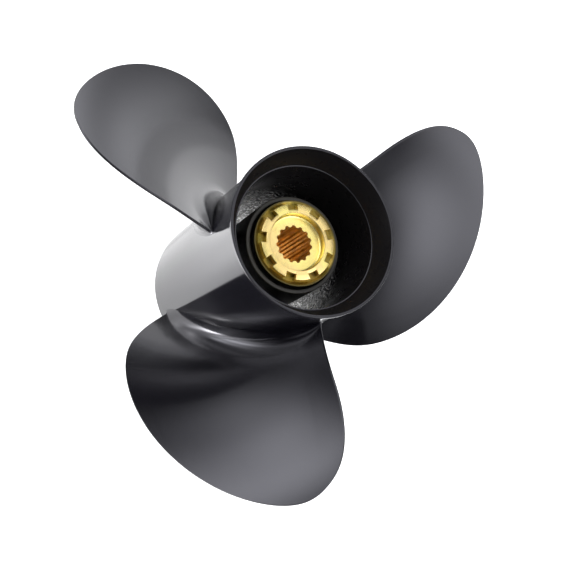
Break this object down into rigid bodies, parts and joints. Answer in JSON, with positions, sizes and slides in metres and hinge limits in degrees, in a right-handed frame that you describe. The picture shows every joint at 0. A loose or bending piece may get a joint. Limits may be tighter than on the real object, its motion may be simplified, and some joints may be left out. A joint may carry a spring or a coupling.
{
  "type": "outboard motor propeller",
  "caption": "Outboard motor propeller: swept blades on a hollow exhaust hub, with a rubber-mounted splined brass sleeve inside.",
  "frame": {"origin": "on the shaft's axis, in the plane of the hub's front end, where the splined bore opens towards the gearcase", "axes": "+Z along the shaft, aft, the way the water leaves; +X and +Y across it, with the lower blade of the picture near -63 degrees from +X"},
  "size_m": [0.3209, 0.3166, 0.1774],
  "materials": {
    "blade_paint": "gloss",
    "hub_core_paint": "satin",
    "bush_rubber": "matte",
    "sleeve_brass": "satin",
    "plate_brass": "satin"
  },
  "bodies": {
    "root": {"outer_barrel": "blade_paint", "blade_1": "blade_paint", "blade_2": "blade_paint", "blade_3": "blade_paint", "inner_tube": "hub_core_paint", "hub_rib_1": "hub_core_paint", "hub_rib_2": "hub_core_paint", "hub_rib_3": "hub_core_paint", "rubber_bush": "bush_rubber", "splined_sleeve": "sleeve_brass", "end_plate": "plate_brass"}
  },
  "joints": []
}
